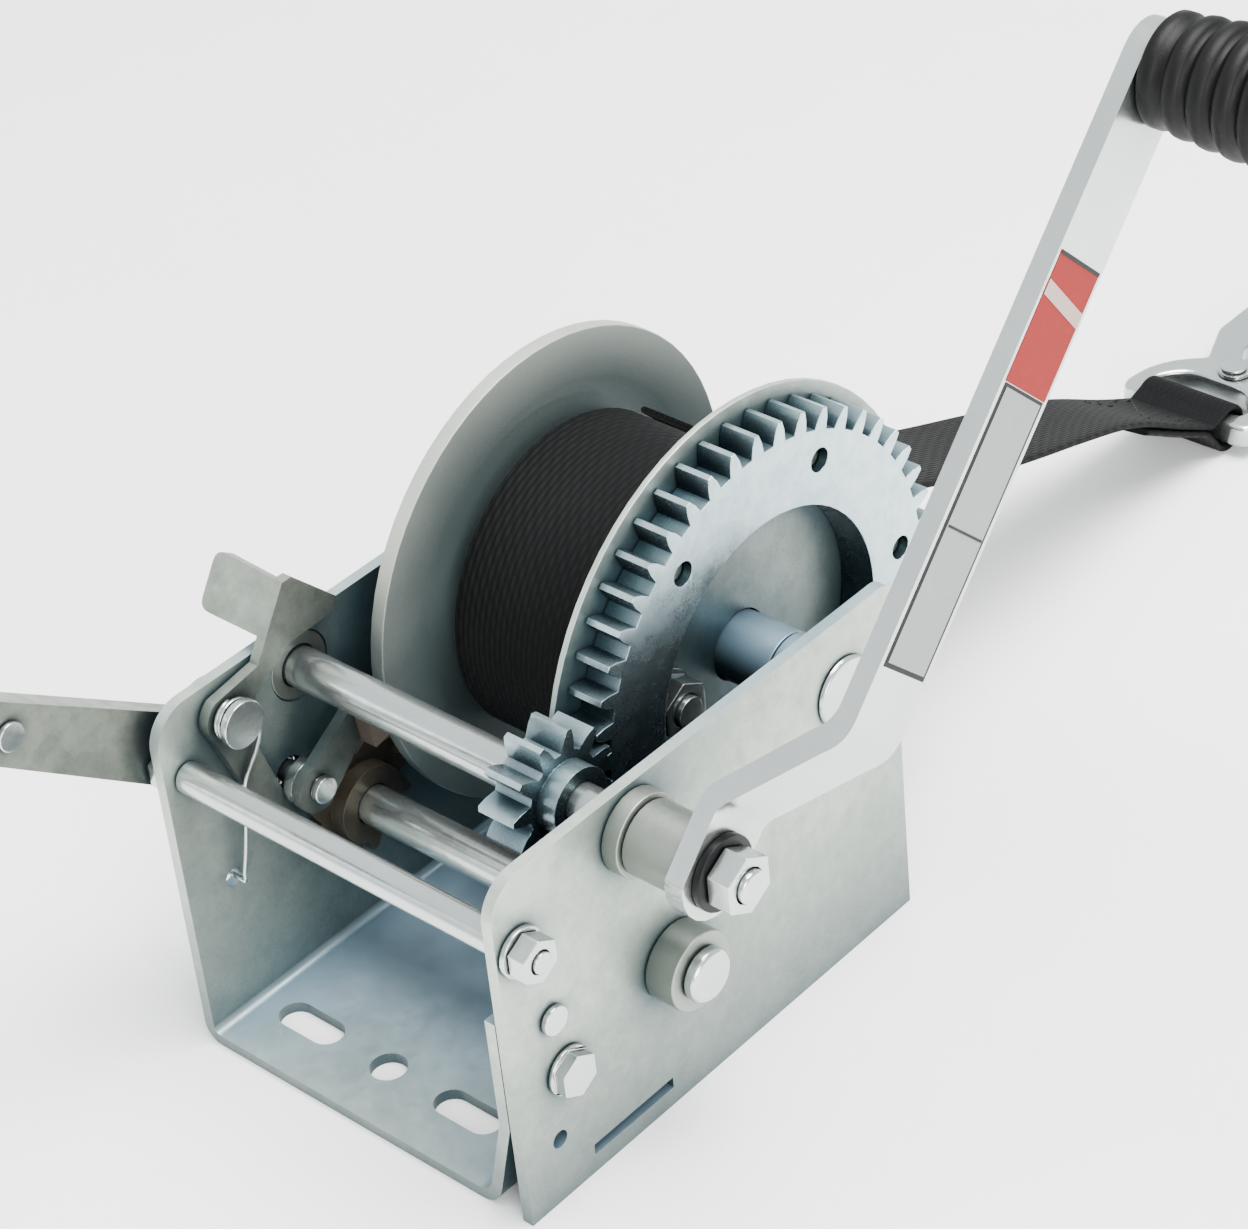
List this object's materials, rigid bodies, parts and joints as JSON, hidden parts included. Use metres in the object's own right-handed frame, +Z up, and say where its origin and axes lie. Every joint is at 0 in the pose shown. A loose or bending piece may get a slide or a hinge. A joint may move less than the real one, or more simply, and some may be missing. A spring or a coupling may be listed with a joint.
{
  "type": "boat trailer winch",
  "caption": "Two-shaft hand winch in a bent sheet frame, with crank, geared drum, ratchet pawl, hand brake lever, webbing strap and snap hook.",
  "frame": {"origin": "centre of the base plate's underside", "axes": "+X along the shafts to the crank side, +Y to the rear where the strap leaves the drum, +Z up"},
  "size_m": [0.2724, 0.5082, 0.2365],
  "materials": {
    "zinc_sheet": "zinc-plated pressed sheet, satin",
    "bright_steel": "bright zinc-plated steel",
    "dark_steel": "dull zinc-plated steel",
    "flange_steel": "matte grey coated sheet",
    "webbing": "woven black polyester webbing",
    "grip_rubber": "matte black moulded rubber",
    "brake_lining": "dark friction lining"
  },
  "bodies": {
    "frame": {"frame_channel": "zinc_sheet", "side_plate_right": "zinc_sheet", "tie_tube": "bright_steel", "tie_bolt": "bright_steel", "tie_washer": "bright_steel", "tie_nut": "bright_steel", "drum_axle": "bright_steel", "axle_nut": "bright_steel", "axle_spacer_left": "zinc_sheet", "axle_spacer_right": "zinc_sheet", "bushing_upper_left": "dark_steel", "bushing_upper_right": "dark_steel", "bushing_lower_left": "dark_steel", "bushing_lower_right": "dark_steel", "plate_bolt": "bright_steel", "plate_nut": "bright_steel", "plate_rivet": "bright_steel", "pawl_pivot": "bright_steel", "pawl_spring": "bright_steel", "strap_tail": "webbing", "strap_loop": "webbing"},
    "drum": {"drum_flange_left": "flange_steel", "drum_disc_right": "zinc_sheet", "drum_gear": "zinc_sheet", "gear_rivet_1": "dark_steel", "gear_rivet_2": "dark_steel", "gear_rivet_3": "dark_steel", "gear_rivet_4": "dark_steel", "gear_rivet_5": "dark_steel", "gear_rivet_6": "dark_steel", "drum_hub": "zinc_sheet", "drum_core": "dark_steel", "strap_roll": "webbing", "strap_anchor_bolt": "bright_steel", "strap_anchor_nut": "bright_steel"},
    "crank": {"input_shaft": "bright_steel", "drive_pinion": "bright_steel", "input_shaft_clip": "dark_steel", "crank_collar": "dark_steel", "crank_arm": "bright_steel", "crank_washer": "grip_rubber", "crank_nut": "bright_steel", "grip_pin": "bright_steel"},
    "grip": {"crank_grip": "grip_rubber"},
    "low_shaft": {"low_shaft": "bright_steel", "low_pinion": "bright_steel", "ratchet_wheel": "dark_steel", "low_shaft_clip": "dark_steel"},
    "pawl": {"pawl": "zinc_sheet"},
    "brake": {"brake_lever": "zinc_sheet", "brake_pin": "bright_steel", "brake_nut": "bright_steel", "brake_arm": "dark_steel", "brake_pad": "brake_lining", "brake_grip": "grip_rubber", "brake_rivet": "bright_steel"},
    "hook": {"hook_body": "bright_steel", "latch_pin": "bright_steel"},
    "latch": {"hook_latch": "bright_steel"}
  },
  "joints": [
    {"name": "drum_spin", "type": "hinge", "parent": "frame", "child": "drum", "pos_m": [0, 0.04806, 0.0765], "axis": [1, 0, 0], "continuous": true},
    {"name": "input_spin", "type": "hinge", "parent": "frame", "child": "crank", "pos_m": [0, -0.024, 0.0845], "axis": [1, 0, 0], "continuous": true},
    {"name": "low_spin", "type": "hinge", "parent": "frame", "child": "low_shaft", "pos_m": [0, -0.01541, 0.04146], "axis": [1, 0, 0], "continuous": true},
    {"name": "grip_spin", "type": "hinge", "parent": "crank", "child": "grip", "pos_m": [0, 0.10798, 0.22118], "axis": [1, 0, 0], "continuous": true},
    {"name": "pawl_pivot_turn", "type": "hinge", "parent": "frame", "child": "pawl", "pos_m": [0, -0.0495, 0.0873], "axis": [1, 0, 0], "range_deg": [-8, 0], "stiffness_Nm_per_rad": 0.2},
    {"name": "brake_turn", "type": "hinge", "parent": "frame", "child": "brake", "pos_m": [0, -0.0322, 0.0585], "axis": [1, 0, 0], "range_deg": [-8, 6]},
    {"name": "hook_swing", "type": "hinge", "parent": "frame", "child": "hook", "pos_m": [-0.0069, 0.273, 0.0075], "axis": [1, 0, 0], "range_deg": [0, 60]},
    {"name": "hook_latch_turn", "type": "hinge", "parent": "hook", "child": "latch", "pos_m": [-0.0049, 0.293, 0.0075], "axis": [0, 0, 1], "range_deg": [0, 28], "stiffness_Nm_per_rad": 0.05}
  ],
  "couplings": [
    {"joint": "input_spin", "follows": "drum_spin", "ratio": -4.2727},
    {"joint": "low_spin", "follows": "drum_spin", "ratio": -4.2727}
  ]
}
